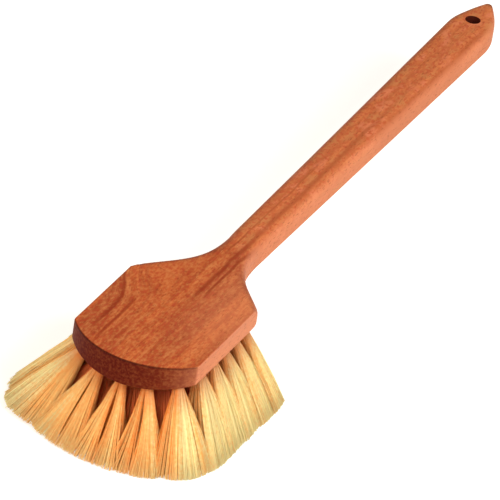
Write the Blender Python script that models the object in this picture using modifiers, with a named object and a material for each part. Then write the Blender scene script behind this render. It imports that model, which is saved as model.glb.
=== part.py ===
# Long-handled pot brush. One board is sawn to make the head and the handle, and tufts of
# natural bristle are folded over wire staples and driven into angled holes in the head's
# underside. Each staple's legs bite into the wood below the hole.
# Lengths are in metres. The brush is laid out with Y at zero on the front of the head and
# growing towards the handle's tip, X at zero on the centre line and Z at zero on the
# bristle tips. At the end its parent empty moves the middle of its length to the origin.

import math

import bmesh
import bpy
from mathutils import Matrix, Vector

# Board: the head and the handle in one piece
BOARD_LENGTH = 0.508
BOARD_THICKNESS = 0.0175
HEAD_WIDTH = 0.080
HEAD_FRONT_BOW = 0.0205
HEAD_CORNER_RADIUS = 0.0045
SHOULDER_REACH = 0.099
SHOULDER_ROUNDING = 0.0035
NECK_REACH = 0.160
NECK_WIDTH = 0.0212
HANDLE_WIDTH = 0.029
TIP_ARCH_RADIUS = 0.050
TIP_NOSE_RADIUS = 0.003
UNDERSIDE_CROWN = 0.004
HEAD_TOP_EDGE_RADIUS = 0.0008
HEAD_BOTTOM_EDGE_RADIUS = 0.0025
HANDLE_TOP_EDGE_RADIUS = 0.0066
HANDLE_BOTTOM_EDGE_RADIUS = 0.0034
EDGE_BLEND_REACH = 0.008
HANG_HOLE_RADIUS = 0.00475
HANG_HOLE_TO_TIP = 0.026

# Bristle field: where the tufts leave the wood, and how far they fan out at the trim
TRIM_HEIGHT = 0.043
FAN_WIDTH = 0.137
FAN_LENGTH = 0.134
FAN_FRONT_OVERHANG = 0.022
FAN_TIP_GAP = 0.002
TUFTS_IN_ROWS = (5, 5, 5, 5, 5, 4)
FIELD_SIDE_INSET = 0.0065
FRONT_ROW_SIDE_INSET = 0.010
REAR_ROW_SIDE_INSET = 0.0065
FRONT_ROW_INSET = 0.008
REAR_ROW_TO_SHOULDER = 0.006

# Tufts, their drilled holes and their staples
TUFT_HOLE_RADIUS = 0.0035
TUFT_HOLE_DEPTH = 0.009
ROOT_STAND_OUT = 0.0024
STRAND_ROOT_RADIUS = 0.00055
STRAND_TIP_RADIUS = 0.0018
STAPLE_WIDTH = 0.0056
STAPLE_WIRE = 0.001
STAPLE_FOLD = 0.0014
STAPLE_BITE = 0.003

# Working clearance between two solids, and how far a cutter overruns what it cuts
CLEARANCE = 0.0003
OVERRUN = 0.005

# Shares of the flare between the shoulder and the neck, along X and Y
FLARE_START_SHARES = (0.59, 0.35)
FLARE_END_SHARE = 0.54
EDGE_LIMIT_SHARE = 0.55

# Strands of a tuft: how many stand in each ring, and the ring's share of the root radius
STRAND_RING_SHARES = ((1, 0.0), (5, 0.38), (10, 0.74))

# Counts of steps in curves
FRONT_STEPS = 9
CORNER_STEPS = 4
SHOULDER_STEPS = 3
FLARE_STEPS = 10
ARCH_STEPS = 8
NOSE_STEPS = 3
EDGE_STEPS = 3
CROWN_STEPS = 5
ROOT_SIDES = 10
HANG_HOLE_SIDES = 24
STRAND_SIDES = 3

# Sizes worked out from the ones above
HEAD_HALF = HEAD_WIDTH / 2
FRONT_RADIUS = (HEAD_HALF ** 2 + HEAD_FRONT_BOW ** 2) / (2 * HEAD_FRONT_BOW)
TOP_HEIGHT = TRIM_HEIGHT + BOARD_THICKNESS
ROOT_RADIUS = TUFT_HOLE_RADIUS - CLEARANCE
ROW_STEPS = len(TUFTS_IN_ROWS) - 1
ROW_PITCH = (SHOULDER_REACH - REAR_ROW_TO_SHOULDER - FRONT_ROW_INSET) / ROW_STEPS

WOOD_COLOUR = (0.56, 0.15, 0.05, 1.0)
BRISTLE_COLOUR = (0.93, 0.68, 0.27, 1.0)
STEEL_COLOUR = (0.55, 0.55, 0.56, 1.0)


def clear_scene():
    for item in list(bpy.data.objects):
        bpy.data.objects.remove(item, do_unlink=True)


def new_collection(name):
    collection = bpy.data.collections.new(name)
    bpy.context.scene.collection.children.link(collection)
    return collection


def new_material(name, colour, roughness, metallic):
    material = bpy.data.materials.new(name)
    material.use_nodes = True
    shader = material.node_tree.nodes["Principled BSDF"]
    shader.inputs["Base Color"].default_value = colour
    shader.inputs["Roughness"].default_value = roughness
    shader.inputs["Metallic"].default_value = metallic
    material.diffuse_color = colour
    return material


def mesh_from(bm, name):
    mesh = bpy.data.meshes.new(name)
    bm.to_mesh(mesh)
    bm.free()
    return mesh


def add_object(name, mesh, collection, parent, matrix=None):
    item = bpy.data.objects.new(name, mesh)
    collection.objects.link(item)
    item.parent = parent
    if matrix is not None:
        item.matrix_local = matrix
    return item


def shade_round(mesh):
    mesh.shade_smooth()
    mesh.set_sharp_from_angle(angle=math.radians(40))


def front_bow(x):
    # How far the bowed front of the head has swept back at a distance x from the centre line
    return FRONT_RADIUS - math.sqrt(FRONT_RADIUS ** 2 - x ** 2)


def underside_height(x):
    # The underside is crowned from side to side, so the board is thinner at its sides
    return TRIM_HEIGHT + UNDERSIDE_CROWN * (x / HEAD_HALF) ** 2


def bezier(points, share):
    while len(points) > 1:
        points = [a.lerp(b, share) for a, b in zip(points, points[1:])]
    return points[0]


def half_outline():
    # The board's right half seen from above, from the middle of the front to the tip
    outline = []

    # Bowed front, up to the rounded corner
    corner_x = HEAD_HALF - HEAD_CORNER_RADIUS
    corner_reach = FRONT_RADIUS - HEAD_CORNER_RADIUS
    corner_angle = math.asin(corner_x / corner_reach)
    for step in range(FRONT_STEPS):
        angle = corner_angle * step / FRONT_STEPS
        outline.append(Vector((
            FRONT_RADIUS * math.sin(angle),
            FRONT_RADIUS - FRONT_RADIUS * math.cos(angle),
        )))

    # Corner arc, tangent to the front and to the straight side
    corner_y = FRONT_RADIUS - corner_reach * math.cos(corner_angle)
    for step in range(CORNER_STEPS + 1):
        angle = corner_angle + (math.pi / 2 - corner_angle) * step / CORNER_STEPS
        outline.append(Vector((
            corner_x + HEAD_CORNER_RADIUS * math.sin(angle),
            corner_y - HEAD_CORNER_RADIUS * math.cos(angle),
        )))

    # Rounded shoulder, where the straight side turns into the flare, with a point before it
    # where the edges begin to round over
    shoulder = Vector((HEAD_HALF, SHOULDER_REACH))
    neck = Vector((NECK_WIDTH / 2, NECK_REACH))
    span = neck - shoulder
    pull = Vector((span.x * FLARE_START_SHARES[0], span.y * FLARE_START_SHARES[1]))
    outline.append(shoulder - Vector((0, EDGE_BLEND_REACH)))
    before = shoulder - Vector((0, SHOULDER_ROUNDING))
    after = shoulder + pull.normalized() * SHOULDER_ROUNDING
    for step in range(SHOULDER_STEPS):
        outline.append(bezier([before, shoulder, after], step / SHOULDER_STEPS))

    # Hollow flare from the shoulder down to the neck
    flare = [after, shoulder + pull, neck - Vector((0, span.y * FLARE_END_SHARE)), neck]
    for step in range(FLARE_STEPS + 1):
        outline.append(bezier(flare, step / FLARE_STEPS))

    # The handle widens in a straight line, then closes in a pointed arch
    half = HANDLE_WIDTH / 2
    inward = TIP_ARCH_RADIUS - half
    rise = math.sqrt((TIP_ARCH_RADIUS - TIP_NOSE_RADIUS) ** 2 - inward ** 2)
    arch_y = BOARD_LENGTH - TIP_NOSE_RADIUS - rise
    sweep = math.atan2(rise, inward)
    outline.append(neck.lerp(Vector((half, arch_y)), 0.5))
    for step in range(ARCH_STEPS):
        angle = sweep * step / ARCH_STEPS
        outline.append(Vector((
            half - TIP_ARCH_RADIUS * (1 - math.cos(angle)),
            arch_y + TIP_ARCH_RADIUS * math.sin(angle),
        )))

    # A small rounded nose takes the arch's point, tangent to both of its sides
    for step in range(NOSE_STEPS):
        angle = sweep + (math.pi / 2 - sweep) * step / NOSE_STEPS
        outline.append(Vector((
            TIP_NOSE_RADIUS * math.cos(angle),
            BOARD_LENGTH - TIP_NOSE_RADIUS * (1 - math.sin(angle)),
        )))
    outline.append(Vector((0, BOARD_LENGTH)))
    return outline


def outward_normals(outline):
    # Past each end of the half outline comes the mirror image of the point before that end
    first = Vector((-outline[1].x, outline[1].y))
    last = Vector((-outline[-2].x, outline[-2].y))
    before = [first] + outline[:-1]
    after = outline[1:] + [last]
    normals = []
    for a, b in zip(before, after):
        along = (b - a).normalized()
        normals.append(Vector((along.y, -along.x)))
    return normals


def room_inside(point, normal):
    # How far in along the normal the centre line lies; the nose keeps its radius to its end
    if point.x <= TIP_NOSE_RADIUS * normal.x:
        return TIP_NOSE_RADIUS
    return point.x / normal.x


def edge_radii(point, normal):
    # The head's edges are nearly sharp and the handle's are well rounded; they blend just
    # before the shoulders, and near the tip they shrink with the width that is left
    share = 1 + (point.y - SHOULDER_REACH) / EDGE_BLEND_REACH
    share = min(max(share, 0), 1)
    smooth = share * share * (3 - 2 * share)
    top = HEAD_TOP_EDGE_RADIUS + (HANDLE_TOP_EDGE_RADIUS - HEAD_TOP_EDGE_RADIUS) * smooth
    bottom = (HEAD_BOTTOM_EDGE_RADIUS
              + (HANDLE_BOTTOM_EDGE_RADIUS - HEAD_BOTTOM_EDGE_RADIUS) * smooth)
    if point.y > NECK_REACH:
        limit = EDGE_LIMIT_SHARE * room_inside(point, normal)
        top = min(top, limit)
        bottom = min(bottom, limit)
    return top, bottom


def board_section(point, normal):
    # From the underside's centre line, out over the crown, up the edge and back on top
    top_radius, bottom_radius = edge_radii(point, normal)
    low = point - normal * bottom_radius
    high = point - normal * top_radius
    section = []
    for step in range(CROWN_STEPS):
        x = low.x * step / CROWN_STEPS
        section.append(Vector((x, low.y, underside_height(x))))
    for step in range(EDGE_STEPS + 1):
        angle = math.pi / 2 * step / EDGE_STEPS
        place = low + normal * bottom_radius * math.sin(angle)
        height = underside_height(low.x) + bottom_radius * (1 - math.cos(angle))
        section.append(Vector((place.x, place.y, height)))
    for step in range(EDGE_STEPS + 1):
        angle = math.pi / 2 * step / EDGE_STEPS
        place = high + normal * top_radius * math.cos(angle)
        height = TOP_HEIGHT - top_radius * (1 - math.sin(angle))
        section.append(Vector((place.x, place.y, height)))
    section.append(Vector((0, high.y, TOP_HEIGHT)))
    return section


def half_board_mesh():
    # A loft through one section for each point of the outline, open on the centre plane
    outline = half_outline()
    sections = [board_section(p, n) for p, n in zip(outline, outward_normals(outline))]
    stations = len(sections) - 1
    columns = len(sections[0]) - 1
    bm = bmesh.new()
    bmesh.ops.create_grid(bm, x_segments=stations, y_segments=columns, size=1)
    for vert in bm.verts:
        station = round((vert.co.x + 1) / 2 * stations)
        column = round((vert.co.y + 1) / 2 * columns)
        vert.co = sections[station][column]
    bmesh.ops.remove_doubles(bm, verts=bm.verts[:], dist=CLEARANCE / 10)
    bmesh.ops.dissolve_degenerate(bm, edges=bm.edges[:], dist=CLEARANCE / 10)
    on_plane = [f for f in bm.faces if all(abs(v.co.x) < CLEARANCE / 10 for v in f.verts)]
    bmesh.ops.delete(bm, geom=on_plane, context="FACES")
    return mesh_from(bm, "board")


def row_place(row, x):
    # The rows follow the bowed front and straighten towards the back
    return FRONT_ROW_INSET + row * ROW_PITCH + front_bow(x) * (1 - (row / ROW_STEPS) ** 2)


def row_room(row, x):
    # The pitch to the nearer row at a distance x from the centre line
    pitches = [ROW_PITCH]
    if row > 0:
        pitches.append(row_place(row, x) - row_place(row - 1, x))
    if row < ROW_STEPS:
        pitches.append(row_place(row + 1, x) - row_place(row, x))
    return min(pitches)


def tuft_places():
    # Each tuft's hole, where the middle of its tuft ends at the trim, and its width there
    widest = HEAD_HALF - FIELD_SIDE_INSET
    column_pitch = 2 * widest / (max(TUFTS_IN_ROWS) - 1)
    spread_x = (FAN_WIDTH + FAN_TIP_GAP) / (2 * widest + column_pitch)
    spread_y = (FAN_LENGTH + FAN_TIP_GAP) / ((ROW_STEPS + 1) * ROW_PITCH)
    front_tip = (ROW_PITCH * spread_y - FAN_TIP_GAP) / 2 - FAN_FRONT_OVERHANG
    insets = [FIELD_SIDE_INSET] * len(TUFTS_IN_ROWS)
    insets[0] = FRONT_ROW_SIDE_INSET
    insets[-1] = REAR_ROW_SIDE_INSET
    places = []
    for row, (count, inset) in enumerate(zip(TUFTS_IN_ROWS, insets)):
        half = HEAD_HALF - inset
        pitch = min(2 * half / (count - 1), column_pitch)
        half_width = (pitch * spread_x - FAN_TIP_GAP) / 2
        for column in range(count):
            x = half * (2 * column / (count - 1) - 1)
            y = row_place(row, x)
            mouth = Vector((x, y, underside_height(x)))
            tip = Vector((x * spread_x, front_tip + (y - FRONT_ROW_INSET) * spread_y, 0))
            half_length = (row_room(row, x) * spread_y - FAN_TIP_GAP) / 2
            label = f"row{row + 1}_{column + 1}"
            places.append((label, mouth, tip, half_width, half_length))
    return places


def hole_frame(mouth, tip):
    # The hole's own frame: its mouth is the origin and its Z runs out along the tuft
    out = (tip - mouth).normalized()
    across = Vector((1, 0, 0))
    across = (across - out * across.dot(out)).normalized()
    turn = Matrix((across, out.cross(across), out)).transposed()
    return Matrix.Translation(mouth) @ turn.to_4x4()


def add_cylinder(bm, radius, low, high, sides):
    # A flat of the cylinder faces X, square to the ends of the staple
    place = Matrix.Translation((0, 0, (low + high) / 2)) @ Matrix.Rotation(math.pi / sides, 4, "Z")
    bmesh.ops.create_cone(
        bm, cap_ends=True, segments=sides, radius1=radius, radius2=radius,
        depth=high - low, matrix=place,
    )


def add_staple(bm, grow):
    # A square-wire staple astride the fold of the tuft, thickened by grow for its cutter
    half = STAPLE_WIDTH / 2 + grow
    inner = STAPLE_WIDTH / 2 - STAPLE_WIRE - grow
    crown = STAPLE_FOLD - TUFT_HOLE_DEPTH - grow
    back = STAPLE_FOLD - TUFT_HOLE_DEPTH + STAPLE_WIRE + grow
    point = -TUFT_HOLE_DEPTH - STAPLE_BITE - grow
    side = STAPLE_WIRE / 2 + grow
    corners = ((-half, point), (-half, back), (half, back), (half, point),
               (inner, point), (inner, crown), (-inner, crown), (-inner, point))
    face = bm.faces.new([bm.verts.new((x, -side, z)) for x, z in corners])
    grown = bmesh.ops.extrude_face_region(bm, geom=[face])["geom"]
    moved = [part for part in grown if isinstance(part, bmesh.types.BMVert)]
    bmesh.ops.translate(bm, verts=moved, vec=(0, 2 * side, 0))
    bmesh.ops.recalc_face_normals(bm, faces=bm.faces[:])


def root_mesh():
    # The packed, folded root of a tuft: a plug pierced by its staple, open at the outer
    # end, where the strands leave it
    bm = bmesh.new()
    add_cylinder(bm, ROOT_RADIUS, CLEARANCE - TUFT_HOLE_DEPTH, ROOT_STAND_OUT, ROOT_SIDES)
    return mesh_from(bm, "root")


def is_outer_end(face):
    return all(abs(v.co.z - ROOT_STAND_OUT) < CLEARANCE / 10 for v in face.verts)


def tuft_mesh(pierced_root, frame, tip, half_width, half_length):
    # The plug's outer end is opened and filled again round the base of every strand, so
    # the strands and the root are one body; each strand is drawn out to the flat trim
    bm = bmesh.new()
    bm.from_mesh(pierced_root)
    ends = [face for face in bm.faces if is_outer_end(face)]
    rim = {edge for face in ends for edge in face.edges
           if any(other not in ends for other in edge.link_faces)}
    bmesh.ops.delete(bm, geom=ends, context="FACES_ONLY")
    inverse = frame.inverted()
    outer_share = STRAND_RING_SHARES[-1][1]
    bases = []
    for count, ring_share in STRAND_RING_SHARES:
        for strand in range(count):
            angle = 2 * math.pi * (strand + ring_share) / count
            root = Vector((math.cos(angle), math.sin(angle), 0)) * ring_share * ROOT_RADIUS
            root.z = ROOT_STAND_OUT
            end = tip + Vector((
                math.cos(angle) * (half_width - STRAND_TIP_RADIUS) * ring_share / outer_share,
                -math.sin(angle) * (half_length - STRAND_TIP_RADIUS) * ring_share / outer_share,
                0,
            ))
            made = bmesh.ops.create_circle(
                bm, cap_ends=False, segments=STRAND_SIDES, radius=STRAND_ROOT_RADIUS,
                matrix=Matrix.Translation(root) @ Matrix.Rotation(angle, 4, "Z"),
            )["verts"]
            loop = list({edge for vert in made for edge in vert.link_edges})
            drawn = bmesh.ops.extrude_edge_only(bm, edges=loop)["geom"]
            far = [part for part in drawn if isinstance(part, bmesh.types.BMVert)]
            for vert in far:
                from_middle = (vert.co - root) * STRAND_TIP_RADIUS / STRAND_ROOT_RADIUS
                vert.co = inverse @ (end + Vector((from_middle.x, -from_middle.y, 0)))
            bmesh.ops.contextual_create(bm, geom=far)
            bases.extend(loop)
    bmesh.ops.triangle_fill(bm, edges=list(rim) + bases, use_beauty=True)
    bmesh.ops.recalc_face_normals(bm, faces=bm.faces[:])
    return mesh_from(bm, "tuft")


def add_cutter(name, bm, collection, parent):
    cutter = add_object(name, mesh_from(bm, name), collection, parent)
    cutter.hide_render = True
    cutter.display_type = "WIRE"
    return cutter


def cut(item, cutter):
    modifier = item.modifiers.new(cutter.name, "BOOLEAN")
    modifier.operation = "DIFFERENCE"
    modifier.solver = "EXACT"
    modifier.object = cutter


def merge_into(target, make, frame):
    # Builds one cutter in the hole's frame and adds it to the joined cutter
    part = bmesh.new()
    make(part)
    part.transform(frame)
    mesh = mesh_from(part, "part")
    target.from_mesh(mesh)
    bpy.data.meshes.remove(mesh)


def build():
    clear_scene()
    parts = new_collection("pot_brush")
    cutters = new_collection("cutters")
    middle = bpy.data.objects.new("pot_brush_middle", None)
    parts.objects.link(middle)
    wood = new_material("oiled_hardwood", WOOD_COLOUR, 0.5, 0.0)
    bristle = new_material("natural_bristle", BRISTLE_COLOUR, 0.7, 0.0)
    steel = new_material("staple_wire", STEEL_COLOUR, 0.35, 1.0)
    places = tuft_places()
    frames = [hole_frame(mouth, tip) for _, mouth, tip, _, _ in places]

    # The board, with its drilled holes, the slits its staples bite and the hanging hole
    holes = bmesh.new()
    bites = bmesh.new()
    for frame in frames:
        merge_into(holes, lambda bm: add_cylinder(
            bm, TUFT_HOLE_RADIUS, -TUFT_HOLE_DEPTH, OVERRUN, ROOT_SIDES), frame)
        merge_into(bites, lambda bm: add_staple(bm, CLEARANCE), frame)
    hang = bmesh.new()
    add_cylinder(hang, HANG_HOLE_RADIUS, TRIM_HEIGHT - OVERRUN, TOP_HEIGHT + OVERRUN,
                 HANG_HOLE_SIDES)
    hang.transform(Matrix.Translation((0, BOARD_LENGTH - HANG_HOLE_TO_TIP, 0)))
    board = add_object("block_and_handle", half_board_mesh(), parts, middle)
    mirror = board.modifiers.new("other_half", "MIRROR")
    mirror.merge_threshold = CLEARANCE / 10
    cut(board, add_cutter("tuft_holes", holes, cutters, middle))
    cut(board, add_cutter("staple_bites", bites, cutters, middle))
    cut(board, add_cutter("hang_hole", hang, cutters, middle))
    board.data.materials.append(wood)
    shade_round(board.data)

    # The plug of packed bristle, pierced once and then shared by every tuft
    slot = bmesh.new()
    add_staple(slot, CLEARANCE)
    slot_cutter = add_cutter("staple_slot", slot, cutters, None)
    plug = add_object("root_pattern", root_mesh(), cutters, None)
    plug.hide_render = True
    plug.display_type = "WIRE"
    cut(plug, slot_cutter)
    graph = bpy.context.evaluated_depsgraph_get()
    pierced = bpy.data.meshes.new_from_object(plug.evaluated_get(graph))

    staple_shape = bmesh.new()
    add_staple(staple_shape, 0)
    staple_mesh = mesh_from(staple_shape, "staple")
    staple_mesh.materials.append(steel)
    front = 0
    for (label, mouth, tip, half_width, half_length), frame in zip(places, frames):
        mesh = tuft_mesh(pierced, frame, tip, half_width, half_length)
        mesh.materials.append(bristle)
        add_object(f"tuft_{label}", mesh, parts, middle, frame)
        add_object(f"staple_{label}", staple_mesh, parts, middle, frame)
        front = min(front, min((frame @ v.co).y for v in mesh.vertices))

    # The origin sits on the ground, under the middle of the whole length
    middle.location.y = -(front + BOARD_LENGTH) / 2
    bpy.context.view_layer.update()


build()
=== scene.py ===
import math
import random

import bmesh
import bpy
from mathutils import Matrix, Vector


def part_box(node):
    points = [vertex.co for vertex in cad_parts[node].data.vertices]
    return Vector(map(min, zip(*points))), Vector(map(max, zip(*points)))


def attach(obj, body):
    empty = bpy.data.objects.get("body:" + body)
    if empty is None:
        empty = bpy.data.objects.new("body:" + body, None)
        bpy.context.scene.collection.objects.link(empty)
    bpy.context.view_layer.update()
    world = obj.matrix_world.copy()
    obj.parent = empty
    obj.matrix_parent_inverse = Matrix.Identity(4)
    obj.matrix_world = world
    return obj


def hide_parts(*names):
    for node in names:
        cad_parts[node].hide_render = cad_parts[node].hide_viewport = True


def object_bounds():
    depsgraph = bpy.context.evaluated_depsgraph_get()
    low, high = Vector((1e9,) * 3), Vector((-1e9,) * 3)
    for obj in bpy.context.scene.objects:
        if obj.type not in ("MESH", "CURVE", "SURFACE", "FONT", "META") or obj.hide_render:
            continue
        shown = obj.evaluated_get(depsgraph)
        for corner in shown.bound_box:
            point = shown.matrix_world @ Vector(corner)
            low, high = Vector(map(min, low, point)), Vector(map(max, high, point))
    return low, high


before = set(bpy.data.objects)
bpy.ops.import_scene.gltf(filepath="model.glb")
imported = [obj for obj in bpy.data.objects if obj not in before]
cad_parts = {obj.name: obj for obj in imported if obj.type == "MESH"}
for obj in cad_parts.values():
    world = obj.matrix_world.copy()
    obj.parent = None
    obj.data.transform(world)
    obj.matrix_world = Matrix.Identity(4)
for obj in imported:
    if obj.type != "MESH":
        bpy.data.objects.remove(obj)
cadLow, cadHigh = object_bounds()
print("frame loaded:", len(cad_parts), "nodes")

mm = 0.001
weldGap = 0.01 * mm
trimBand = 0.5 * mm    # a tuft's vertices below this height are its trimmed end
boardLow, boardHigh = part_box("block_and_handle")
labels = sorted(name[5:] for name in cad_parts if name.startswith("tuft_"))


# Camera: a long lens, standing to the right of the head's front and rolled with the photograph

cameraLook = {
    "azimuth": 21.407,
    "elevation": 31.519,
    "roll": 9.215,
    "distance": 4.0,
    "lens": 494.17,
    "clipEnd": 50,
    "target": (0.0033, -0.0803, 0.0525),
}


def addCamera(look):
    azimuth, elevation, roll = (math.radians(look[k]) for k in ("azimuth", "elevation", "roll"))
    back = Vector((
        math.sin(azimuth) * math.cos(elevation),
        -math.cos(azimuth) * math.cos(elevation),
        math.sin(elevation),
    ))
    right = Vector((0, 0, 1)).cross(back).normalized()
    up = back.cross(right)
    rolledRight = right * math.cos(roll) + up * math.sin(roll)
    rolledUp = up * math.cos(roll) - right * math.sin(roll)
    turn = Matrix((rolledRight, rolledUp, back)).transposed()
    data = bpy.data.cameras.new("camera")
    data.lens = look["lens"]
    data.clip_end = look["clipEnd"]
    camera = bpy.data.objects.new("camera", data)
    bpy.context.scene.collection.objects.link(camera)
    camera.matrix_world = Matrix.Translation(
        Vector(look["target"]) + back * look["distance"]) @ turn.to_4x4()
    bpy.context.scene.camera = camera


addCamera(cameraLook)
print("camera placed")


# Helpers for meshes and materials

def linearColor(hexText):
    # sRGB hex to the linear values that a shader reads
    values = [int(hexText[i:i + 2], 16) / 255 for i in (1, 3, 5)]
    return [v / 12.92 if v <= 0.04045 else ((v + 0.055) / 1.055) ** 2.4 for v in values] + [1]


def addNode(tree, kind, settings=None, values=None, links=None):
    # settings are the node's own, values and links are by the name or number of an input
    node = tree.nodes.new(kind)
    for name, value in (settings or {}).items():
        setattr(node, name, value)
    for name, value in (values or {}).items():
        node.inputs[name].default_value = value
    for name, source in (links or {}).items():
        tree.links.new(source, node.inputs[name])
    return node


def newMaterial(name):
    material = bpy.data.materials.new(name)
    material.use_nodes = True
    tree = material.node_tree
    return material, tree, tree.nodes["Principled BSDF"]


def meshFrom(bm, name):
    mesh = bpy.data.meshes.new(name)
    bm.to_mesh(mesh)
    bm.free()
    return mesh


def addPiece(name, mesh, material, slotName, *replaced):
    mesh.materials.clear()
    mesh.materials.append(material)
    piece = bpy.data.objects.new(name, mesh)
    bpy.context.scene.collection.objects.link(piece)
    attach(piece, "root")
    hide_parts(*replaced)
    return piece


# Where each tuft leaves the wood and where it ends, read from the frame

def tuftPlace(label):
    spots = [v.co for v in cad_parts["tuft_" + label].data.vertices]
    ends = [spot for spot in spots if spot.z < trimBand]
    low = Vector([min(spot[i] for spot in ends) for i in range(3)])
    high = Vector([max(spot[i] for spot in ends) for i in range(3)])
    wireLow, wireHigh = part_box("staple_" + label)
    return {
        "tip": (low + high) / 2,
        "halfWidth": (high.x - low.x) / 2,
        "halfLength": (high.y - low.y) / 2,
        "staple": (wireLow + wireHigh) / 2,
    }


# Board: the head and the handle in one piece of lauan, sawn, rounded over and drilled

board = {
    "length": boardHigh.y - boardLow.y,
    "headHalf": (boardHigh.x - boardLow.x) / 2,
    "frontY": boardLow.y,
    "top": boardHigh.z,
    "underside": boardLow.z,
    "frontBow": 20.5 * mm,
    "cornerRadius": 4.5 * mm,
    "shoulderReach": 99 * mm,
    "shoulderRounding": 3.5 * mm,
    "neckReach": 160 * mm,
    "neckWidth": 21.2 * mm,
    "handleWidth": 29 * mm,
    "tipArchRadius": 50 * mm,
    "tipNoseRadius": 3 * mm,
    "undersideCrown": 4 * mm,
    "headTopEdge": 0.8 * mm,
    "headBottomEdge": 2.5 * mm,
    "handleTopEdge": 6.6 * mm,
    "handleBottomEdge": 3.4 * mm,
    "hangHoleRadius": 4.75 * mm,
    "hangHoleToTip": 26 * mm,
    "tuftHoleRadius": 3.5 * mm,
    "tuftHoleDepth": 9 * mm,
    "stapleWidth": 5.6 * mm,
    "stapleWire": 1 * mm,
    "stapleReach": 3 * mm,
    "clearance": 0.3 * mm,
    "flareStartShares": (0.59, 0.35),
    "flareEndShare": 0.54,
    "edgeBlendReach": 8 * mm,
    "edgeLimitShare": 0.55,
    "supportShare": 0.3,
    "mouthStep": 0.05 * mm,
    "drillOverrun": 5 * mm,
    "sharpAngle": 35,
}
boardSteps = {"front": 28, "corner": 8, "shoulder": 6, "flare": 40, "handle": 40, "arch": 24,
              "nose": 8, "edge": 7, "crown": 8, "top": 4, "tuftHole": 28, "hangHole": 64}


def undersideHeight(x):
    return board["underside"] + board["undersideCrown"] * (x / board["headHalf"]) ** 2


def bezier(points, share):
    while len(points) > 1:
        points = [a.lerp(b, share) for a, b in zip(points, points[1:])]
    return points[0]


def arc(centre, radius, start, end, steps):
    # Angles are measured from the front, towards the right side
    for step in range(steps):
        angle = start + (end - start) * step / steps
        yield centre + Vector((math.sin(angle), -math.cos(angle))) * radius


def halfOutline():
    # The right half seen from above, from the middle of the front to the tip
    b, steps = board, boardSteps
    half = b["headHalf"]
    frontRadius = (half ** 2 + b["frontBow"] ** 2) / (2 * b["frontBow"])
    corner = b["cornerRadius"]
    cornerAngle = math.asin((half - corner) / (frontRadius - corner))
    cornerY = frontRadius - (frontRadius - corner) * math.cos(cornerAngle)
    cornerCentre = Vector((half - corner, cornerY))
    outline = list(arc(Vector((0, frontRadius)), frontRadius, 0, cornerAngle, steps["front"]))
    outline += arc(cornerCentre, corner, cornerAngle, math.pi / 2, steps["corner"])
    outline.append(Vector((half, cornerY)))

    shoulder = Vector((half, b["shoulderReach"]))
    neck = Vector((b["neckWidth"] / 2, b["neckReach"]))
    span = neck - shoulder
    pull = Vector((span.x * b["flareStartShares"][0], span.y * b["flareStartShares"][1]))
    outline.append(shoulder - Vector((0, b["edgeBlendReach"])))
    before = shoulder - Vector((0, b["shoulderRounding"]))
    after = shoulder + pull.normalized() * b["shoulderRounding"]
    bend = [before, shoulder, after]
    outline += [bezier(bend, s / steps["shoulder"]) for s in range(steps["shoulder"])]
    flare = [after, shoulder + pull, neck - Vector((0, span.y * b["flareEndShare"])), neck]
    outline += [bezier(flare, s / steps["flare"]) for s in range(steps["flare"])]

    # The handle widens in a straight line and closes in an arch with a small rounded nose
    handleHalf = b["handleWidth"] / 2
    archRadius, noseRadius = b["tipArchRadius"], b["tipNoseRadius"]
    inward = archRadius - handleHalf
    rise = math.sqrt((archRadius - noseRadius) ** 2 - inward ** 2)
    noseCentre = Vector((0, b["length"] - noseRadius))
    archStart = Vector((handleHalf, noseCentre.y - rise))
    outline += [neck.lerp(archStart, s / steps["handle"]) for s in range(steps["handle"])]
    archEnd = math.pi / 2 + math.atan2(rise, inward)
    outline += arc(archStart - Vector((archRadius, 0)), archRadius, math.pi / 2, archEnd, steps["arch"])
    outline += arc(noseCentre, noseRadius, archEnd, math.pi, steps["nose"])
    outline.append(Vector((0, b["length"])))
    return outline


def roomInside(point, normal):
    # How far in along the normal the centre line lies; the nose keeps its radius to its end
    if point.x <= board["tipNoseRadius"] * normal.x:
        return board["tipNoseRadius"]
    return point.x / normal.x


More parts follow.
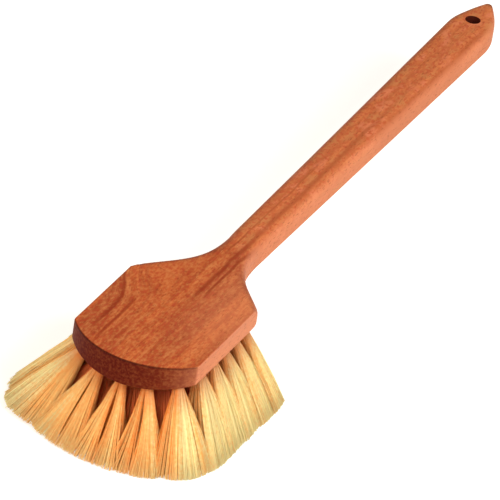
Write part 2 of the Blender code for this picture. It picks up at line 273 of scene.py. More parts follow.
def boardSection(point, normal):
    # From the underside's middle out over the crown, up the rounded edge and back on top
    b, steps = board, boardSteps
    share = 1 + (point.y - b["shoulderReach"]) / b["edgeBlendReach"]
    share = min(max(share, 0), 1)
    smooth = share * share * (3 - 2 * share)
    topEdge = b["headTopEdge"] + (b["handleTopEdge"] - b["headTopEdge"]) * smooth
    bottomEdge = b["headBottomEdge"] + (b["handleBottomEdge"] - b["headBottomEdge"]) * smooth
    if point.y > b["neckReach"]:
        limit = b["edgeLimitShare"] * roomInside(point, normal)
        topEdge, bottomEdge = min(topEdge, limit), min(bottomEdge, limit)
    low = point - normal * bottomEdge
    high = point - normal * topEdge
    lowSupport = low - normal * bottomEdge * b["supportShare"]
    highSupport = high - normal * topEdge * b["supportShare"]
    edgeZ = undersideHeight(low.x)
    section = []
    for step in range(steps["crown"]):
        x = lowSupport.x * step / (steps["crown"] - 1)
        section.append(Vector((x, lowSupport.y, undersideHeight(x))))
    for step in range(steps["edge"] + 1):
        angle = math.pi / 2 * step / steps["edge"]
        place = low + normal * bottomEdge * math.sin(angle)
        section.append(Vector((place.x, place.y, edgeZ + bottomEdge * (1 - math.cos(angle)))))
    section.append(Vector((point.x, point.y, edgeZ + bottomEdge * (1 + b["supportShare"]))))
    section.append(Vector((point.x, point.y, b["top"] - topEdge * (1 + b["supportShare"]))))
    for step in range(steps["edge"] + 1):
        angle = math.pi / 2 * step / steps["edge"]
        place = high + normal * topEdge * math.cos(angle)
        section.append(Vector((place.x, place.y, b["top"] - topEdge * (1 - math.sin(angle)))))
    for step in range(steps["top"]):
        x = highSupport.x * (1 - step / (steps["top"] - 1))
        section.append(Vector((x, highSupport.y, b["top"])))
    return section


def outwardNormals(outline):
    before = [Vector((-outline[1].x, outline[1].y))] + outline[:-1]
    after = outline[1:] + [Vector((-outline[-2].x, outline[-2].y))]
    alongs = [(b - a).normalized() for a, b in zip(before, after)]
    return [Vector((along.y, -along.x)) for along in alongs]


def boardShape():
    # A grid laid over one section for each point of the outline, then mirrored
    outline = halfOutline()
    sections = [boardSection(p, n) for p, n in zip(outline, outwardNormals(outline))]
    stations, columns = len(sections) - 1, len(sections[0]) - 1
    bm = bmesh.new()
    bmesh.ops.create_grid(bm, x_segments=stations, y_segments=columns, size=1)
    for vert in bm.verts:
        station = round((vert.co.x + 1) / 2 * stations)
        column = round((vert.co.y + 1) / 2 * columns)
        vert.co = sections[station][column] + Vector((0, board["frontY"], 0))
    bmesh.ops.remove_doubles(bm, verts=bm.verts[:], dist=weldGap)
    bmesh.ops.dissolve_degenerate(bm, edges=bm.edges[:], dist=weldGap)
    flat = [f for f in bm.faces if all(abs(v.co.x) < weldGap for v in f.verts)]
    bmesh.ops.delete(bm, geom=flat, context="FACES")
    bmesh.ops.mirror(bm, geom=bm.verts[:] + bm.edges[:] + bm.faces[:], axis="X", merge_dist=weldGap)
    bmesh.ops.recalc_face_normals(bm, faces=bm.faces[:])
    return bm


def tuftFrame(place):
    # The tuft's own frame: its mouth is the origin and its Z runs out to the trim
    out = (place["tip"] - place["staple"]).normalized()
    mouth = place["staple"].copy()
    while mouth.z > undersideHeight(mouth.x):
        mouth += out * board["mouthStep"]
    across = Vector((1, 0, 0))
    across = (across - out * across.dot(out)).normalized()
    turn = Matrix((across, out.cross(across), out)).transposed()
    return Matrix.Translation(mouth) @ turn.to_4x4()


def addBore(bm, radius, depth, sides, matrix):
    bmesh.ops.create_cone(bm, cap_ends=True, segments=sides, radius1=radius, radius2=radius,
                          depth=depth, matrix=matrix)


def addDrilling(bm, place):
    # A drilled hole, and the two slits that the staple's legs have bitten below it
    b = board
    turn = tuftFrame(place)
    addBore(bm, b["tuftHoleRadius"], b["tuftHoleDepth"] + b["drillOverrun"], boardSteps["tuftHole"],
            turn @ Matrix.Translation((0, 0, (b["drillOverrun"] - b["tuftHoleDepth"]) / 2)))
    leg = b["stapleWire"] + 2 * b["clearance"]
    reach = b["stapleReach"] + b["clearance"]
    for side in (-1, 1):
        x = side * (b["stapleWidth"] - b["stapleWire"]) / 2
        spot = Matrix.Translation((x, 0, -b["tuftHoleDepth"] - reach / 2 + weldGap))
        size = Matrix.Diagonal((leg, leg, reach, 1))
        bmesh.ops.create_cube(bm, size=1, matrix=turn @ spot @ size)


def carve(mesh, cutterShape):
    # Takes the cutter's shape out of the mesh and gives the new mesh
    body = bpy.data.objects.new("body", mesh)
    cutter = bpy.data.objects.new("cutter", meshFrom(cutterShape, "cutter"))
    for item in (body, cutter):
        bpy.context.scene.collection.objects.link(item)
    cutting = body.modifiers.new("cut", "BOOLEAN")
    cutting.operation = "DIFFERENCE"
    cutting.solver = "EXACT"
    cutting.object = cutter
    cutting.use_self = True
    graph = bpy.context.evaluated_depsgraph_get()
    carved = bpy.data.meshes.new_from_object(body.evaluated_get(graph))
    for item in (body, cutter):
        bpy.data.objects.remove(item, do_unlink=True)
    return carved


def makeBoard(material, places):
    b = board
    drill = bmesh.new()
    for place in places:
        addDrilling(drill, place)
    holePlace = (0, b["frontY"] + b["length"] - b["hangHoleToTip"], (b["top"] + b["underside"]) / 2)
    addBore(drill, b["hangHoleRadius"], 2 * (b["top"] - b["underside"]), boardSteps["hangHole"],
            Matrix.Translation(holePlace))
    mesh = carve(meshFrom(boardShape(), "board"), drill)
    mesh.shade_smooth()
    mesh.set_sharp_from_angle(angle=math.radians(b["sharpAngle"]))
    return addPiece("wooden_block_and_handle", mesh, material, "wood", "block_and_handle")


# Lauan, a red-brown open-pored hardwood, planed, sanded and lightly oiled: even colour with
# soft streaks and short dark pores along the grain. Its paler sides are painted light and
# sheen, its dark end grain is partly its own tone and partly painted shade, and the hanging
# hole's bore and the end grain's upper edge are painted shade

wood = {
    "faceTone": "#C16332",
    "faceDark": "#913C1C",
    "faceLight": "#D4884F",
    "mottleTone": "#D0854E",
    "redTone": "#A83A22",
    "tanTone": "#B47A48",
    "pinkTone": "#D8805F",
    "veinTone": "#842A0C",
    "poreTone": "#6B2810",
    # The side tone paints light and sheen; the end tone is partly, the bore tone wholly, painted shade
    "sideLightTone": "#DB906C",
    "paleTone": "#DE8A5F",
    "wornTone": "#E48652",
    "endGrainAndShadeTone": "#4E0D03",
    "edgeTone": "#2E0B05",
    "boreShadeTone": "#4A1A10",

    # Noises: width and length of a cell, detail, distortion. The first ones follow the grain.
    # Pores are drawn at twice their real width, so that the pixels hold them.
    "grainNoises": {
        "band": (14 * mm, 220 * mm, 3, 0.5),
        "streak": (2.2 * mm, 60 * mm, 4, 0.5),
        "mottle": (3.5 * mm, 9 * mm, 4),
        "pore": (0.7 * mm, 4 * mm, 1),
    },
    "plainNoises": {
        "fleck": (1.5 * mm, 3 * mm, 2),
        "patch": (7 * mm, 16 * mm, 3),
        "speck": (2 * mm, 3 * mm, 1),
    },

    # Layers: which noise, where in it the tone starts and is full, how much at most, the tone
    "faceLayers": [
        ("band", 0.58, 0.36, 0.75, "faceDark"),
        ("streak", 0.5, 0.72, 0.4, "faceLight"),
        ("streak", 0.52, 0.32, 0.5, "faceDark"),
        ("mottle", 0.48, 0.7, 0.3, "mottleTone"),
        ("mottle", 0.52, 0.33, 0.4, "faceDark"),
        ("fleck", 0.5, 0.68, 0.28, "faceLight"),
        ("fleck", 0.52, 0.32, 0.55, "redTone"),
    ],
    "handleLayers": [
        ("patch", 0.52, 0.66, 0.6, "tanTone"),
        ("patch", 0.48, 0.34, 0.55, "pinkTone"),
        ("speck", 0.54, 0.66, 0.85, "redTone"),
    ],

    # The grain bends this far towards the left shoulder, over these spans from the head's
    # front and from its middle line
    "grainRunout": 18 * mm,
    "runoutAlong": (50 * mm, 105 * mm),
    "runoutAcross": (-6 * mm, -32 * mm),

    # Veins: where across, where they start and end from the front, half width, all in mm
    "veinLines": [
        (4.8, 82, 330, 2.2),
        (9.3, 90, 165, 1.6),
        (-1.5, 140, 260, 0.9),
        (11.5, 320, 478, 3),
        (-21, 8, 62, 1.6),
        (-28, 25, 95, 1.6),
    ],
    "veinStrength": 0.72,
    "veinCore": 0.2,
    "veinWander": 5 * mm,
    "veinWanderNoise": (60 * mm, 45 * mm, 2),
    "veinFadeIn": 10 * mm,
    "veinFadeOut": 15 * mm,

    # The right half of the head is paler, and hands have worn the handle pale
    "rightPaleness": 0.35,
    "paleAcross": (-5 * mm, 32 * mm),
    "paleAlong": (10 * mm, 80 * mm),
    "handleWear": 0.3,
    "handleBlend": (-25 * mm, 15 * mm),

    # Paler sides, which paint the light and sheen that the lit side gets, and end grain that is
    # darker where it has drunk more oil and darker still by painted shade, in all but its dry
    # specks. The painted shade shows more on the left of the bowed front, which faces away from
    # the light. The end grain's upper edge, painted darker as shade, and the handle's tip are darkest.
    "sideLightShare": (0.4, 1.0, 0.6),
    "endShadeSkew": 0.27,
    "endPower": 1.5,
    "drySpan": (0.35, 0.65),
    "dryLeast": 0.86,
    "upperShadeSpan": (-1.8 * mm, -0.6 * mm),
    "upperShadeFacing": (0.3, 0.8),
    "upperShadeStrength": 0.6,
    "tipSpan": (-5 * mm, -1 * mm),
    "tipStrength": 0.7,
    "poreShare": (0.6, 0.72, 0.35),
    "boreEdge": 0.2 * mm,

    "roughness": (0.5, 0.65),
    "specular": 0.06,
    "streakRelief": 0.5,
    "bumpStrength": 0.5,
    "bumpDepth": 0.1 * mm,
}


def grainNoise(tree, place, width, length, detail=2.0, distortion=0.0):
    # Noise drawn out along the handle: one cell is about width across and length along
    cells = (1 / width, 1 / length, 1 / width)
    stretched = addNode(tree, "ShaderNodeMapping", values={"Scale": cells}, links={"Vector": place})
    values = {"Scale": 1, "Detail": detail, "Distortion": distortion}
    return addNode(tree, "ShaderNodeTexNoise", values=values,
                   links={"Vector": stretched.outputs[0]}).outputs["Fac"]


def ramp(tree, source, low, high, smooth=True):
    # Spreads low..high of the source over 0..1
    kind = "SMOOTHSTEP" if smooth else "LINEAR"
    return addNode(tree, "ShaderNodeMapRange", {"interpolation_type": kind},
                   {"From Min": low, "From Max": high}, {"Value": source}).outputs[0]


def rampFrom(tree, source, origin, span):
    # A ramp over a span that is measured from the origin
    return ramp(tree, source, origin + span[0], origin + span[1])


def share(tree, source, low, high, most):
    # From 0 where the source is low to most where it is high, either way round
    return maths(tree, "MULTIPLY", ramp(tree, source, low, high), most)


def feed(tree, node, values):
    # Each input, by its number, gets an output to read from or a plain value
    for number, value in values.items():
        if isinstance(value, bpy.types.NodeSocket):
            tree.links.new(value, node.inputs[number])
        else:
            node.inputs[number].default_value = value


def mixColors(tree, factor, first, second):
    node = addNode(tree, "ShaderNodeMix", {"data_type": "RGBA"})
    feed(tree, node, {0: factor, 6: first, 7: second})
    return node.outputs[2]


def maths(tree, operation, first, second=0.0):
    node = addNode(tree, "ShaderNodeMath", {"operation": operation})
    feed(tree, node, {0: first, 1: second})
    return node.outputs[0]


def stained(tree, tone, much, hexText):
    # The tone with that much of another one over it
    return mixColors(tree, much, tone, linearColor(hexText))


def layered(tree, tone, noises, layers, where=1.0):
    # Lays each layer over the last one; where is 1 on the part of the wood that gets them
    for noise, low, high, most, name in layers:
        much = maths(tree, "MULTIPLY", where, share(tree, noises[noise], low, high, most))
        tone = stained(tree, tone, much, wood[name])
    return tone


def grainPlace(tree, here):
    # Object coordinates with the grain bent out of line at the left shoulder
    parts = addNode(tree, "ShaderNodeSeparateXYZ", links={"Vector": here})
    bend = maths(tree, "MULTIPLY",
                 rampFrom(tree, parts.outputs["Y"], board["frontY"], wood["runoutAlong"]),
                 ramp(tree, parts.outputs["X"], *wood["runoutAcross"]))
    shift = maths(tree, "MULTIPLY", bend, wood["grainRunout"])
    across = maths(tree, "ADD", parts.outputs["X"], shift)
    return addNode(tree, "ShaderNodeCombineXYZ", links={
        "X": across, "Y": parts.outputs["Y"], "Z": parts.outputs["Z"]}).outputs[0]


def veinLine(tree, here, line):
    # A thin dark line along the grain that wanders a little and fades at both ends
    across, start, end, halfWidth = (value * mm for value in line)
    parts = addNode(tree, "ShaderNodeSeparateXYZ", links={"Vector": here})
    noise = grainNoise(tree, here, *wood["veinWanderNoise"])
    wander = maths(tree, "MULTIPLY", noise, wood["veinWander"])
    wandered = maths(tree, "ADD", parts.outputs["X"], wander)
    offset = maths(tree, "SUBTRACT", wandered, across + wood["veinWander"] / 2)
    core = ramp(tree, maths(tree, "ABSOLUTE", offset), halfWidth, halfWidth * wood["veinCore"])
    fadeIn, fadeOut = wood["veinFadeIn"], wood["veinFadeOut"]
    rise = rampFrom(tree, parts.outputs["Y"], board["frontY"] + start, (-fadeIn, fadeIn))
    fall = rampFrom(tree, parts.outputs["Y"], board["frontY"] + end, (fadeOut, -fadeOut))
    return maths(tree, "MULTIPLY", core, maths(tree, "MULTIPLY", rise, fall))


def planedFace(tree, grain, spot, noises):
    # The planed face's tone, and where the handle is
    front = board["frontY"]
    tone = layered(tree, linearColor(wood["faceTone"]), noises, wood["faceLayers"])
    pale = maths(tree, "MULTIPLY", ramp(tree, spot["X"], *wood["paleAcross"]),
                 rampFrom(tree, spot["Y"], front, wood["paleAlong"]))
    tone = stained(tree, tone, maths(tree, "MULTIPLY", pale, wood["rightPaleness"]), wood["paleTone"])
    onHandle = rampFrom(tree, spot["Y"], front + board["neckReach"], wood["handleBlend"])
    tone = layered(tree, tone, noises, wood["handleLayers"], onHandle)
    for line in wood["veinLines"]:
        vein = maths(tree, "MULTIPLY", veinLine(tree, grain, line), wood["veinStrength"])
        tone = stained(tree, tone, vein, wood["veinTone"])
    return tone, onHandle


def endGrainAndShadeShare(tree, facing, fleck):
    # How much a face gets the end grain's dark tone, its own and painted shade: full on the front
    # and the tip, none on top and sides, and more on the left of the bowed front
    # Painted shade: the left of the bowed front, which faces away from the light, gets more
    skew = maths(tree, "MULTIPLY", facing["X"], wood["endShadeSkew"])
    end = maths(tree, "SUBTRACT", maths(tree, "ABSOLUTE", facing["Y"]), skew)
    rest = maths(tree, "POWER", ramp(tree, end, 1, 0, smooth=False), wood["endPower"])
    low, high = wood["drySpan"]
    soaked = addNode(tree, "ShaderNodeMapRange", links={"Value": fleck}, values={
        "From Min": low, "From Max": high, "To Min": 1, "To Max": wood["dryLeast"]})
    return maths(tree, "MULTIPLY", maths(tree, "SUBTRACT", 1.0, rest), soaked.outputs[0])


def boreShadeShare(tree, here):
    # 1 in the hanging hole's bore, which is painted dark as shade
    holeY = board["frontY"] + board["length"] - board["hangHoleToTip"]
    fromHole = addNode(tree, "ShaderNodeMapping", links={"Vector": here}, values={
        "Location": (0, -holeY, 0), "Scale": (1, 1, 0)})
    reach = addNode(tree, "ShaderNodeVectorMath", {"operation": "LENGTH"},
                    links={0: fromHole.outputs[0]})
    radius = board["hangHoleRadius"]
    return ramp(tree, reach.outputs["Value"], radius + wood["boreEdge"], radius)


def oiledLauan():
    material, tree, shader = newMaterial("oiled_lauan")
    place = addNode(tree, "ShaderNodeTexCoord")
    here = place.outputs["Object"]
    facing = addNode(tree, "ShaderNodeSeparateXYZ", links={"Vector": place.outputs["Normal"]}).outputs
    spot = addNode(tree, "ShaderNodeSeparateXYZ", links={"Vector": here}).outputs
    grain = grainPlace(tree, here)
    noises = {name: grainNoise(tree, grain, *cell) for name, cell in wood["grainNoises"].items()}
    for name, cell in wood["plainNoises"].items():
        noises[name] = grainNoise(tree, here, *cell)

    tone, onHandle = planedFace(tree, grain, spot, noises)
    # Paler sides: painted light and sheen, given to both sides as the lit one gets it
    side = share(tree, maths(tree, "ABSOLUTE", facing["X"]), *wood["sideLightShare"])
    tone = stained(tree, tone, side, wood["sideLightTone"])
    worn = maths(tree, "MULTIPLY", onHandle, wood["handleWear"])
    tone = stained(tree, tone, worn, wood["wornTone"])
    # End grain: its own darker tone together with painted shade
    tone = stained(tree, tone, endGrainAndShadeShare(tree, facing, noises["fleck"]), wood["endGrainAndShadeTone"])
    # Painted shade along the upper edge of the end grain
    upper = maths(tree, "MULTIPLY", rampFrom(tree, spot["Z"], board["top"], wood["upperShadeSpan"]),
                  ramp(tree, maths(tree, "ABSOLUTE", facing["Y"]), *wood["upperShadeFacing"]))
    tone = stained(tree, tone, maths(tree, "MULTIPLY", upper, wood["upperShadeStrength"]), wood["edgeTone"])
    tip = rampFrom(tree, spot["Y"], board["frontY"] + board["length"], wood["tipSpan"])
    tone = stained(tree, tone, maths(tree, "MULTIPLY", tip, wood["tipStrength"]), wood["edgeTone"])
    pores = share(tree, noises["pore"], *wood["poreShare"])
    tone = stained(tree, tone, pores, wood["poreTone"])
    # Painted shade in the hanging hole's bore
    tone = stained(tree, tone, boreShadeShare(tree, here), wood["boreShadeTone"])
    tree.links.new(tone, shader.inputs["Base Color"])

    low, high = wood["roughness"]
    roughness = addNode(tree, "ShaderNodeMapRange", values={"To Min": low, "To Max": high},
                        links={"Value": noises["streak"]})
    tree.links.new(roughness.outputs[0], shader.inputs["Roughness"])
    shader.inputs["Specular IOR Level"].default_value = wood["specular"]
    ridges = maths(tree, "MULTIPLY", noises["streak"], wood["streakRelief"])
    bump = addNode(tree, "ShaderNodeBump", links={"Height": maths(tree, "SUBTRACT", ridges, pores)},
                   values={"Strength": wood["bumpStrength"], "Distance": wood["bumpDepth"]})
    tree.links.new(bump.outputs[0], shader.inputs["Normal"])
    return material


# Tampico, a cream plant fibre, cut and packed in tufts: matt, each fibre a little paler or
# more golden than the next. Painted shade makes it darker and redder near the wood and deep
# in the brush, and more golden on the tufts' shaded sides and where the head shades the fan

fibre = {
    # Tones, and how golden a fibre's shade is when each of them starts and is full
    "paleTone": "#FFEFB0",
    "goldTone": "#FFC878",
    "goldShades": (0.1, 0.5),
    "amberTone": "#FF9436",
    "amberShades": (0.4, 1.0),
    # The root, inner and hollow tones are painted shade
    "rootShadeTone": "#D06428",
    "innerShadeTone": "#FF8848",
    "hollowShadeTone": "#CC5C34",

    # Reaches along a fibre, from 0 in the hole to 1 at the trim
    "rootShadeReach": (0.1, 0.55),
    "hollowShadeReach": (0.3, 0.65),
    "innerShadeReach": (0.5, 1.0),
    "tipReach": (0.8, 1.0),
    "tipPale": 0.25,
    "blotchSize": 2 * mm,
    "blotch": 0.55,
    "roughness": 0.6,
    "specular": 0.3,

    # What makes a fibre more golden or paler: its place in the fan, in the tuft and deep in the
    # brush, all painted shade, and at random its lock and itself
    "fanShadeGold": 0.3,
    "fanShadeSpan": (32 * mm, 56 * mm),
    "farLeftPale": 0.32,
    "farLeftSpan": (-72 * mm, -10 * mm),
    "sideShadeGold": 0.1,
    "edgeShadeGold": 0.3,
    "inwardShadeGold": 0.3,
    "splitShadeGold": 0.28,
    "lockGold": 0.12,
    "fibreGold": 0.17,
    "innerShadeGold": 0.3,

    # One fibre, how many stand in a tuft and how they cling together in locks
    "count": 1000,
    "tipRadius": 0.21 * mm,
    "rootRadius": 0.12 * mm,
    "sides": 3,
    "segments": 4,
    "spotJitter": 0.15,
    "locks": 40,
    "lockPull": 0.18,
    "lockShift": 0.015,

    # The tuft: from its hole out through the mouth to the trim
    "mouthRadius": 3.1 * mm,
    "rootDepth": 4 * mm,
    "mouthRun": 1.5 * mm,
    "trimRaggedness": 0.9 * mm,
    "fullness": 1.28,
    "sideFill": 0.22,
    "squareness": 0.8,
    "bow": 0.05,
    "split": 1.0,
    "leftBulge": 0.8,
    "rightBulge": 0.96,
    "frontBulges": {"1_2": 0.42, "1_3": 0.26, "1_4": 0.26, "1_5": 0.66, "2_5": 0.88},
    "wander": 0.6 * mm,
    "strayShare": 0.015,
    "strayReach": 2.2 * mm,

    # The fan's rim: angle from the front, in degrees, and reach from its centre, in mm
    "fanCentre": 45 * mm,
    "fanRim": [
        (-180, 74), (-135, 97), (-112, 74.5), (-98, 74), (-86, 81.5), (-70, 84.5), (-60, 83),
        (-50, 79), (-38, 72), (-30, 70), (-20, 70), (0, 70), (16, 71.5), (34, 71), (50, 72),
        (62, 71.5), (80, 66), (92, 64.5), (112, 69), (135, 90), (180, 74),
    ],
    "rimSoftness": 0.1,

    # The fan's lean to the left: it is squeezed past its edges, its right side is drawn in
    # and to the front, and its left side goes out and up, and less so at the rear
    "fanEdge": 60 * mm,
    "edgeSqueeze": 0.5,
    "leftLean": 12 * mm,
    "rightLean": 1 * mm,
    "rightPush": 2 * mm,
    "rearLeftLean": 0.45,
    "leftRise": 2.5 * mm,

    "seed": 11,
}


def tampico():
    # UV map "fibre": a whole part for tufts deep in the brush, which get painted shade; the rest is the
    # fibre's shade of gold
    material, tree, shader = newMaterial("cut_tampico_fibre")
    where = addNode(tree, "ShaderNodeUVMap", {"uv_map": "fibre"})
    parts = addNode(tree, "ShaderNodeSeparateXYZ", links={"Vector": where.outputs[0]})
    shade = maths(tree, "FRACT", parts.outputs["X"], 0)
    inner = maths(tree, "FLOOR", parts.outputs["X"], 0)
    along = parts.outputs["Y"]
    here = addNode(tree, "ShaderNodeTexCoord").outputs["Object"]
    blotch = grainNoise(tree, here, fibre["blotchSize"], fibre["blotchSize"])
    blotch = maths(tree, "MULTIPLY", maths(tree, "SUBTRACT", blotch, 0.5), fibre["blotch"])
    shade = maths(tree, "ADD", shade, blotch)
    tone = linearColor(fibre["paleTone"])
    tone = stained(tree, tone, ramp(tree, shade, *fibre["goldShades"]), fibre["goldTone"])
    tone = stained(tree, tone, ramp(tree, shade, *fibre["amberShades"]), fibre["amberTone"])
    ends = share(tree, along, *fibre["tipReach"], fibre["tipPale"])
    tone = stained(tree, tone, ends, fibre["paleTone"])
    # Painted shade: darker and redder near the wood
    outside = ramp(tree, along, *fibre["rootShadeReach"])
    tone = mixColors(tree, outside, linearColor(fibre["rootShadeTone"]), tone)
    # Painted shade deep in the brush: dark red near the wood, orange further out
    hollow = stained(tree, linearColor(fibre["hollowShadeTone"]), ramp(tree, along, *fibre["hollowShadeReach"]),
                     fibre["innerShadeTone"])
    deep = maths(tree, "MULTIPLY", inner, ramp(tree, along, *reversed(fibre["innerShadeReach"])))
    tone = mixColors(tree, deep, tone, hollow)
    tree.links.new(tone, shader.inputs["Base Color"])
    shader.inputs["Roughness"].default_value = fibre["roughness"]
    shader.inputs["Specular IOR Level"].default_value = fibre["specular"]
    return material


def fibrePattern():
    # One fibre, one unit long and one unit in radius, cut into even segments
    bm = bmesh.new()
    bmesh.ops.create_cone(bm, cap_ends=True, segments=fibre["sides"], radius1=1, radius2=1, depth=1,
                          matrix=Matrix.Translation((0, 0, 0.5)))
    lengthwise = [e for e in bm.edges if abs(e.verts[0].co.z - e.verts[1].co.z) > 0.5]
    bmesh.ops.subdivide_edges(bm, edges=lengthwise, cuts=fibre["segments"] - 1)
    return meshFrom(bm, "fibre")


def discSpots(count, rng):
    # Evenly scattered places on a unit disc, as a sunflower packs its seeds
    golden = math.pi * (3 - math.sqrt(5))
    spots = []
    for number in range(count):
        reach = math.sqrt((number + 0.5) / count)
        angle = number * golden + rng.uniform(-fibre["spotJitter"], fibre["spotJitter"])
        spots.append(Vector((reach * math.cos(angle), reach * math.sin(angle))))
    return spots


def squared(spot):
    # Pushes a disc's spots most of the way into the corners of the tuft's cell
    widest = max(abs(spot.x), abs(spot.y))
    if widest == 0:
        return spot
    return spot * (1 + fibre["squareness"] * (spot.length / widest - 1))


def fanned(spot):
    # The fan leans to the left: its right side is drawn in, its left side out and a little up
    f = fibre
    past = max(0, abs(spot.x) - f["fanEdge"])
    x = math.copysign(abs(spot.x) - past * f["edgeSqueeze"], spot.x)
    reach = (x / cadHigh.x) ** 2
    behind = min(1, max(0, (spot.y - boardLow.y) / board["shoulderReach"]))
    if x > 0:
        push = f["rightPush"] * reach * (1 - behind)
        return Vector((x - f["rightLean"] * reach, spot.y - push, spot.z))
    lean = f["leftLean"] * reach * (1 - (1 - f["rearLeftLean"]) * behind)
    return Vector((x - lean, spot.y, spot.z + f["leftRise"] * reach * (1 - behind)))


def trimmed(spot):
    # Draws a fibre's end in to the fan's rounded rim, by its angle from the front
    f = fibre
    middle = Vector((0, boardLow.y + f["fanCentre"], spot.z))
    offset = spot - middle
    angle = math.degrees(math.atan2(offset.x, -offset.y))
    for (low, lowReach), (high, highReach) in zip(f["fanRim"], f["fanRim"][1:]):
        if low <= angle <= high:
            rim = (lowReach + (highReach - lowReach) * (angle - low) / (high - low)) * mm
    past = offset.length / rim - 1 + f["rimSoftness"]
    if past <= 0:
        return spot
    kept = 1 - f["rimSoftness"] * math.exp(-past / f["rimSoftness"])
    return middle + offset.normalized() * rim * kept


def addFibre(bm, pattern, route, shade):
    # Lays one copy of the pattern along the route and notes its shade and length in the UV map
    start = len(bm.verts)
    bm.from_mesh(pattern)
    bm.verts.ensure_lookup_table()
    uvLayer = bm.loops.layers.uv["fibre"]
    steps = len(route) - 1
    fresh = bm.verts[start:]
    levels = {}
    for vert in fresh:
        level = round(vert.co.z * steps)
        ahead = route[min(level + 1, steps)] - route[max(level - 1, 0)]
        across = Vector((0, 1, 0)).cross(ahead).normalized()
        other = ahead.cross(across).normalized()
        levels[vert] = level / steps
        radius = fibre["rootRadius"] + (fibre["tipRadius"] - fibre["rootRadius"]) * levels[vert]
        vert.co = route[level] + (across * vert.co.x + other * vert.co.y) * radius
    for face in {face for vert in fresh for face in vert.link_faces}:
        for loop in face.loops:
            loop[uvLayer].uv = (shade, levels[loop.vert])


def halfTuft(place, turn, half, side):
    # A tuft is folded over its staple, so that it leaves the hole as two halves side by side
    f = fibre
    leave = turn @ Vector((side * f["split"] * f["mouthRadius"] / 2, 0, f["mouthRun"]))
    end = fanned(place["tip"] + Vector((side * f["split"] * half.x / 2, 0, 0)))
    run = end - leave
    return leave.lerp(end, 0.5) + Vector((run.x, run.y, 0)) * f["bow"], end


def leftShare(x, span):
    # 1 to the left of the span, 0 to its right
    return min(1, max(0, (span[1] - x) / (span[1] - span[0])))


def tuftLocks(rng):
    # Where each lock stands in the tuft, how far it has shifted, and its own shade
    spots = discSpots(fibre["locks"], rng)
    shifts = [Vector((rng.gauss(0, 1), rng.gauss(0, 1))) * fibre["lockShift"] for _ in spots]
    return list(zip(spots, shifts, [rng.random() for _ in spots]))


def fibreEnd(place, spread, rng):
    # Where a fibre ends on the trim, and now and then astray
    f = fibre
    end = place["tip"] + Vector((
        spread.x + rng.gauss(0, f["wander"]),
        spread.y + rng.gauss(0, f["wander"]),
        abs(rng.gauss(0, f["trimRaggedness"])) + f["tipRadius"],
    ))
    end = trimmed(fanned(end))
    if rng.random() < f["strayShare"]:
        end += Vector((rng.uniform(-1, 1), rng.uniform(-1, 1), 0)) * f["strayReach"]
    return end


def shadeGoldOf(spot, outward, sideways, endX):
    # How golden a fibre is by its place in the tuft and by where it ends in the fan, all painted
    # shade: the tuft's side away from the light, its flanks, back and split, and the fan under the
    # head's shadow, less at its far left
    f = fibre
    gold = f["sideShadeGold"] * (0.5 - spot.x / 2) + f["edgeShadeGold"] * spot.dot(sideways) ** 4
    gold += f["inwardShadeGold"] * max(0, -spot.dot(outward)) ** 2
    gold += f["splitShadeGold"] * (1 - abs(spot.x)) ** 4
    gold += f["fanShadeGold"] * leftShare(endX, f["fanShadeSpan"])
    return gold - f["farLeftPale"] * leftShare(endX, f["farLeftSpan"])


def makeTuft(label, place, pattern, material):
    f = fibre
    rng = random.Random(f"{f['seed']} {label}")
    turn = tuftFrame(place)
    half = Vector((place["halfWidth"], place["halfLength"])) * f["fullness"]
    locks = tuftLocks(rng)
    hearts = {side: halfTuft(place, turn, half, side) for side in (-1, 1)}
    bulge = f["rightBulge"] if place["tip"].x > 0 else f["leftBulge"]
    bulge = f["frontBulges"].get(label[3:], bulge)
    outward = (place["tip"].xy - Vector((0, boardLow.y + f["fanCentre"]))).normalized()
    sideways = Vector((-outward.y, outward.x))
    curveSteps = f["segments"] - 1
    bm = bmesh.new()
    bm.loops.layers.uv.new("fibre")
    for spot in discSpots(f["count"], rng):
        lockSpot, lockShift, lockShade = min(locks, key=lambda lock: (lock[0] - spot).length)
        cell = squared(spot.lerp(lockSpot, f["lockPull"])) + lockShift
        spread = Vector((cell.x * half.x, cell.y * half.y))
        spread += sideways * spread.dot(sideways) * f["sideFill"]
        end = fibreEnd(place, spread, rng)

        inHole = Vector((spot.x, -spot.y, 0)) * f["mouthRadius"]
        root = turn @ (inHole - Vector((0, 0, f["rootDepth"])))
        leave = turn @ (inHole + Vector((0, 0, f["mouthRun"])))
        heartMiddle, heartEnd = hearts[1 if spot.x > 0 else -1]
        curve = [leave, heartMiddle + (end - heartEnd) * bulge, end]
        route = [root] + [bezier(curve, s / curveSteps) for s in range(curveSteps + 1)]

        shade = f["lockGold"] * lockShade + f["fibreGold"] * rng.random()
        # The fibre's place adds painted shade to its own random gold
        shade += shadeGoldOf(spot, outward, sideways, end.x)
        # Tufts deep in the brush get more gold as painted shade
        shade = min(0.99, max(0, shade + f["innerShadeGold"] * isInner(label)))
        addFibre(bm, pattern, route, shade + isInner(label))
    mesh = meshFrom(bm, "tuft")
    mesh.shade_smooth()
    return addPiece("fibre_tuft_" + label, mesh, material, "bristle", "tuft_" + label)


def isInner(label):
    # 1 where the neighbouring tufts keep the light from this one
    row, column = label[3:].split("_")
    return int("1" < row < "6" and "1" < column < "5")


# Staples: drawn steel wire, with fine die lines along it, bright but not polished

wire = {
    "darkTone": "#A9A9AC",
    "lightTone": "#C9C9CC",
    "lineWidth": 0.15 * mm,
    "lineLength": 2 * mm,
    "roughness": (0.3, 0.45),
}


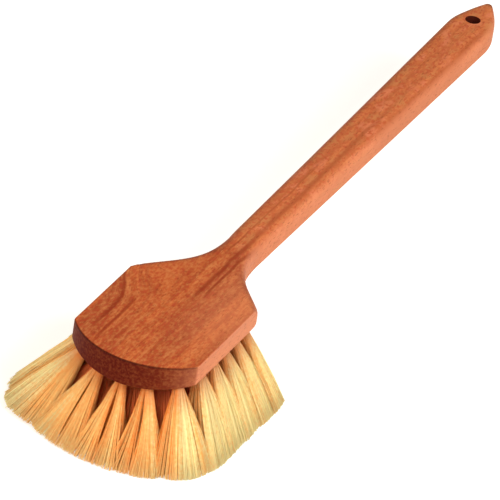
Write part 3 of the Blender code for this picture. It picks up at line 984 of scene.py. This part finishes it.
def drawnSteel():
    material, tree, shader = newMaterial("drawn_steel_wire")
    here = addNode(tree, "ShaderNodeTexCoord").outputs["Object"]
    lines = grainNoise(tree, here, wire["lineWidth"], wire["lineLength"])
    tone = mixColors(tree, lines, linearColor(wire["darkTone"]), linearColor(wire["lightTone"]))
    tree.links.new(tone, shader.inputs["Base Color"])
    shader.inputs["Metallic"].default_value = 1
    low, high = wire["roughness"]
    roughness = addNode(tree, "ShaderNodeMapRange", values={"To Min": low, "To Max": high},
                        links={"Value": lines})
    tree.links.new(roughness.outputs[0], shader.inputs["Roughness"])
    return material


places = {label: tuftPlace(label) for label in labels}
lauan = oiledLauan()
makeBoard(lauan, places.values())
print("board carved")

pattern = fibrePattern()
tampicoFibre = tampico()
for label in labels:
    makeTuft(label, places[label], pattern, tampicoFibre)
bpy.data.meshes.remove(pattern)
print("tufts packed:", len(labels))

steel = drawnSteel()
for label in labels:
    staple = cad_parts["staple_" + label]
    staple.data.materials.clear()
    staple.data.materials.append(steel)
print("staples finished")


# Floor, world and lamps

studio = {
    "floorSize": 12.0,
    "floorTone": "#F0EEEA",
    "floorRoughness": 0.9,
    "floorGlow": 0.5,
    "worldLevel": 0.33,
    "worldTone": "#FFF7EE",
    "keyPower": 31.0,
    "keyPlace": (1.5, -0.3, 1.3),
    "keySize": 1.2,
    "keyTone": "#FFFFFF",
    "fillPower": 21.5,
    "fillPlace": (-0.15, -1.7, 1.0),
    "fillSize": 1.2,
    "fillTone": "#FFF4E6",
}


def seenRay(tree):
    # 1 for rays from the camera or in a mirror or glass, which see the plain white backdrop
    path = addNode(tree, "ShaderNodeLightPath")
    seen = maths(tree, "MAXIMUM", path.outputs["Is Camera Ray"], path.outputs["Is Glossy Ray"])
    return maths(tree, "MAXIMUM", seen, path.outputs["Is Transmission Ray"])


def makeFloor():
    bm = bmesh.new()
    bmesh.ops.create_grid(bm, x_segments=1, y_segments=1, size=studio["floorSize"] / 2)
    floor = bpy.data.objects.new("floor", meshFrom(bm, "floor"))
    bpy.context.scene.collection.objects.link(floor)
    material, tree, shader = newMaterial("white_paper_floor")
    shader.inputs["Base Color"].default_value = linearColor(studio["floorTone"])
    shader.inputs["Roughness"].default_value = studio["floorRoughness"]
    shader.inputs["Specular IOR Level"].default_value = 0
    shader.inputs["Emission Color"].default_value = (1, 1, 1, 1)
    glow = maths(tree, "MULTIPLY", seenRay(tree), studio["floorGlow"])
    tree.links.new(glow, shader.inputs["Emission Strength"])
    floor.data.materials.append(material)


def makeWorld():
    world = bpy.data.worlds.new("studio")
    bpy.context.scene.world = world
    world.use_nodes = True
    tree = world.node_tree
    background = tree.nodes["Background"]
    seen = seenRay(tree)
    tone = mixColors(tree, seen, linearColor(studio["worldTone"]), linearColor("#FFFFFF"))
    tree.links.new(tone, background.inputs["Color"])
    level = addNode(tree, "ShaderNodeMapRange", values={"To Min": studio["worldLevel"], "To Max": 1},
                    links={"Value": seen})
    tree.links.new(level.outputs[0], background.inputs["Strength"])


def addLamp(name):
    # A round lamp that shines at the origin
    data = bpy.data.lights.new(name, "AREA")
    data.shape = "DISK"
    data.size = studio[name + "Size"]
    data.energy = studio[name + "Power"]
    data.color = linearColor(studio[name + "Tone"])[:3]
    lamp = bpy.data.objects.new(name, data)
    bpy.context.scene.collection.objects.link(lamp)
    lamp.location = studio[name + "Place"]
    lamp.rotation_euler = (-lamp.location).to_track_quat("-Z", "Y").to_euler()


makeFloor()
makeWorld()
addLamp("key")
addLamp("fill")
bpy.context.scene.view_settings.view_transform = "Standard"
print("studio lit")
